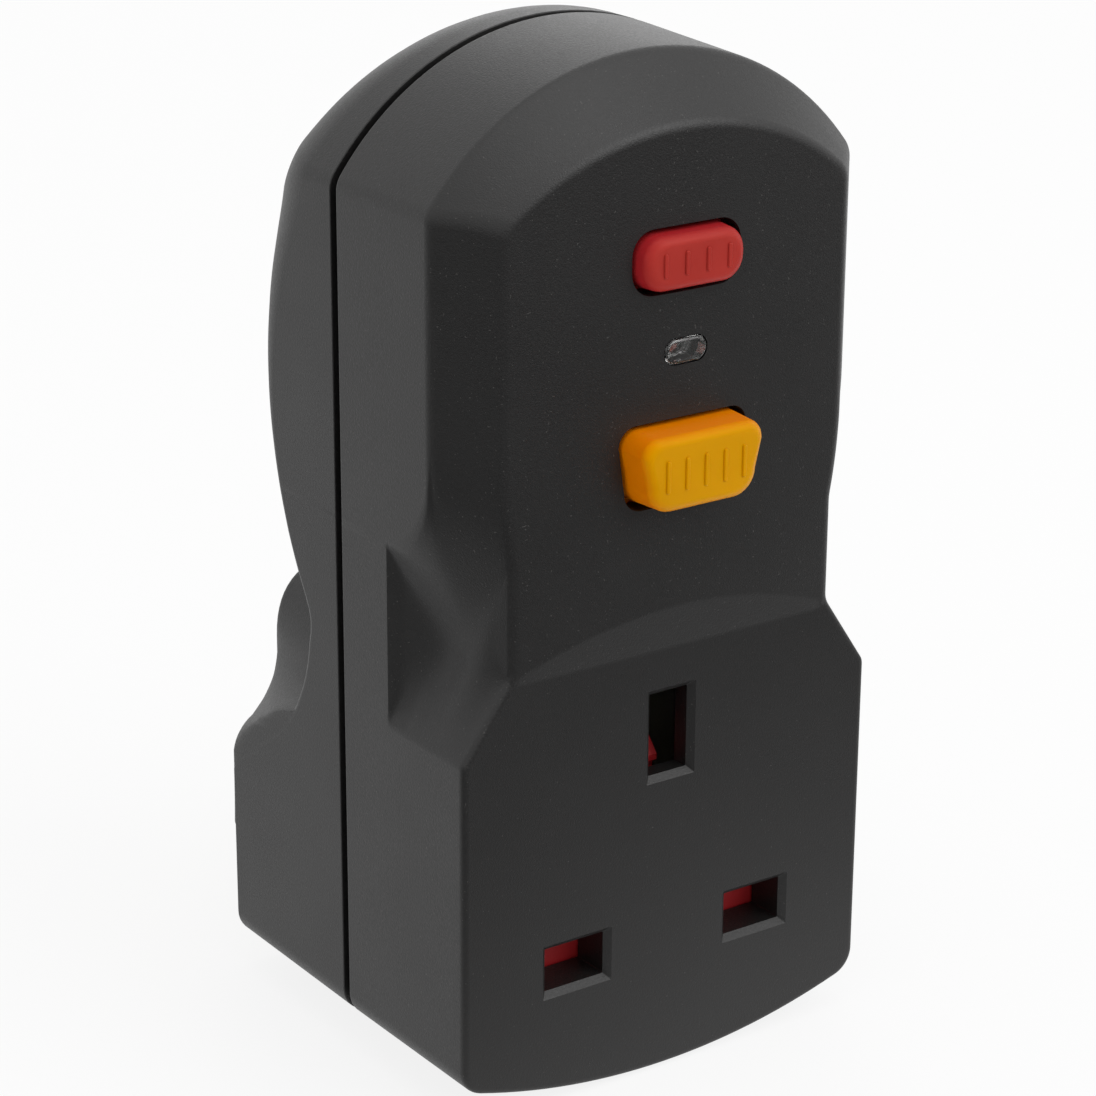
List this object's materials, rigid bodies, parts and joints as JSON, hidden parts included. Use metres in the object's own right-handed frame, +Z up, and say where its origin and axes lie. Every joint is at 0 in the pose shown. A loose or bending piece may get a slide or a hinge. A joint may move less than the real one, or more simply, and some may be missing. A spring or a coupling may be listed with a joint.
{
  "type": "rcd adapter plug",
  "caption": "Plug-through residual current adapter: moulded two-shell housing with flat pins behind, a shuttered socket in front, test and reset buttons and a trip mechanism inside.",
  "frame": {"origin": "on the flat plug face at the back, midway between the line and neutral pins", "axes": "+X to the right of a user who faces the socket, +Y into the wall along the pins, +Z up"},
  "size_m": [0.05, 0.0716, 0.1047],
  "materials": {
    "housing": "fine spark texture",
    "sleeve": "satin",
    "test_red": "semi-gloss",
    "reset_amber": "semi-gloss",
    "shutter_red": "semi-gloss",
    "lens_clear": "clear",
    "lamp_glass": "clear",
    "insulator": "satin",
    "pin_brass": "drawn and tumbled",
    "contact_brass": "rolled strip",
    "contact_silver": "plated",
    "copper_wire": "enamelled wire",
    "zinc_steel": "zinc plated",
    "spring_steel": "drawn wire",
    "ferrite": "pressed ring",
    "board": "solder mask",
    "chip_black": "moulded",
    "brown_wire": "soft sheath",
    "blue_wire": "soft sheath",
    "varistor_blue": "dipped",
    "capacitor_ochre": "dipped",
    "resistor_tan": "lacquered"
  },
  "bodies": {
    "housing": {"front_cover": "housing", "rear_cover": "housing", "case_screws": "zinc_steel", "earth_pin": "pin_brass", "line_pin": "pin_brass", "neutral_pin": "pin_brass", "pin_sleeves": "sleeve", "socket_base": "insulator", "earth_contact": "contact_brass", "line_contact": "contact_brass", "neutral_contact": "contact_brass", "shutter_spring": "spring_steel", "line_feed_bar": "contact_brass", "neutral_feed_bar": "contact_brass", "circuit_board": "board", "board_screws": "zinc_steel", "sense_core": "ferrite", "sense_winding": "copper_wire", "line_load_wire": "brown_wire", "neutral_load_wire": "blue_wire", "mechanism_frame": "insulator", "reset_spring": "spring_steel", "fixed_contacts": "contact_silver", "arm_terminals": "contact_brass", "solenoid_yoke": "zinc_steel", "solenoid_bobbin": "insulator", "solenoid_coil": "copper_wire", "plunger_spring": "spring_steel", "test_spring": "spring_steel", "test_switch": "chip_black", "indicator_lens": "lens_clear", "indicator_lamp": "lamp_glass", "lamp_spacer": "insulator", "varistor": "varistor_blue", "capacitor": "capacitor_ochre", "control_chip": "chip_black", "test_resistor": "resistor_tan"},
    "test_button": {"test_button": "test_red"},
    "reset_button": {"reset_button": "reset_amber"},
    "shutter": {"shutter": "shutter_red"},
    "trip_plunger": {"trip_plunger": "zinc_steel"},
    "contact_carrier": {"contact_carrier": "insulator"},
    "latch_plate": {"latch_plate": "zinc_steel"},
    "line_arm": {"line_arm": "contact_brass"},
    "neutral_arm": {"neutral_arm": "contact_brass"}
  },
  "joints": [
    {"name": "test_press", "type": "slide", "parent": "housing", "child": "test_button", "axis": [0, 1, 0], "range_m": [0, 0.0012], "stiffness_N_per_m": 400, "springref_m": -0.001, "deforming": ["test_spring"]},
    {"name": "reset_press", "type": "slide", "parent": "housing", "child": "reset_button", "axis": [0, 1, 0], "range_m": [0, 0.0025], "stiffness_N_per_m": 500, "springref_m": -0.001, "deforming": ["reset_spring"]},
    {"name": "shutter_slide", "type": "slide", "parent": "housing", "child": "shutter", "axis": [0, 0, -1], "range_m": [0, 0.0062], "stiffness_N_per_m": 80, "springref_m": -0.004, "deforming": ["shutter_spring"]},
    {"name": "plunger_slide", "type": "slide", "parent": "housing", "child": "trip_plunger", "axis": [0, 0, 1], "range_m": [0, 0.002], "stiffness_N_per_m": 150, "springref_m": -0.001, "deforming": ["plunger_spring"]},
    {"name": "carrier_slide", "type": "slide", "parent": "housing", "child": "contact_carrier", "axis": [0, -1, 0], "range_m": [0, 0.00075], "stiffness_N_per_m": 300, "springref_m": -0.001},
    {"name": "latch_slide", "type": "slide", "parent": "contact_carrier", "child": "latch_plate", "axis": [0, 0, 1], "range_m": [0, 0.002]},
    {"name": "line_arm_hinge", "type": "hinge", "parent": "housing", "child": "line_arm", "pos_m": [0.01141, -0.02425, 0.042], "axis": [1, 0, 0], "range_deg": [0, 5.2]},
    {"name": "neutral_arm_hinge", "type": "hinge", "parent": "housing", "child": "neutral_arm", "pos_m": [-0.01141, -0.02425, 0.042], "axis": [1, 0, 0], "range_deg": [0, 5.2]}
  ],
  "couplings": [
    {"joint": "latch_slide", "follows": "plunger_slide", "ratio": 1},
    {"joint": "line_arm_hinge", "follows": "carrier_slide", "rad_per_m": 120},
    {"joint": "neutral_arm_hinge", "follows": "carrier_slide", "rad_per_m": 120}
  ]
}
